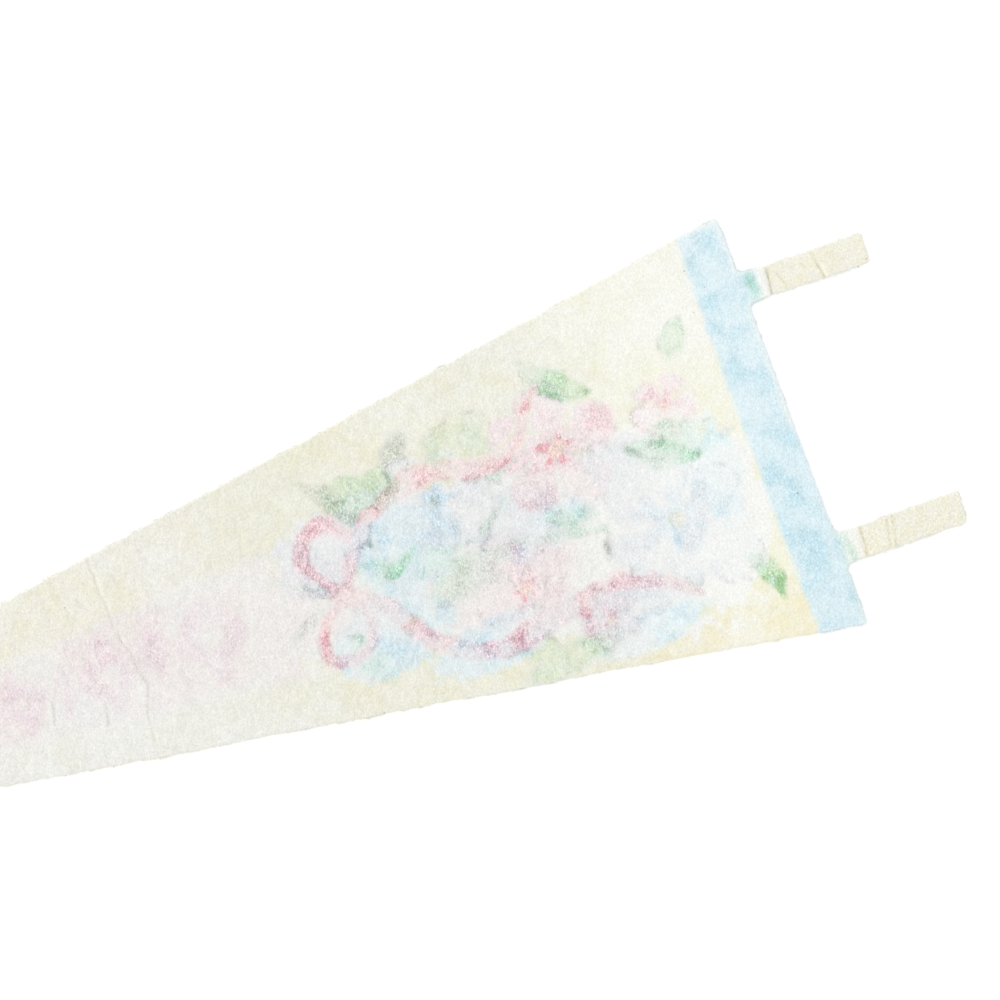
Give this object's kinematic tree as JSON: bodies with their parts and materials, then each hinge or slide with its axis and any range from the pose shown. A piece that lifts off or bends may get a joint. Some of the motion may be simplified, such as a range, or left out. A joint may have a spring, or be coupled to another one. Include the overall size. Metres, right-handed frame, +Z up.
{
  "type": "felt pennant",
  "caption": "Long tapering souvenir pennant cut in one piece from thin pressed felt, with a plain head band and two flat tabs that wrap round a stick.",
  "frame": {"origin": "on the surface that the pennant lies on, under the middle of its outline's bounding box", "axes": "+X from the tip to the head and its tabs, +Y across the pennant, +Z up out of the face that shows"},
  "size_m": [0.418, 0.1216, 0.0023],
  "materials": {
    "felt": "thin pressed felt, soft and matt, pale cream, with a pale blue head band and a faded print that shows through from the other face"
  },
  "bodies": {
    "root": {"pennant": "felt"}
  },
  "joints": []
}
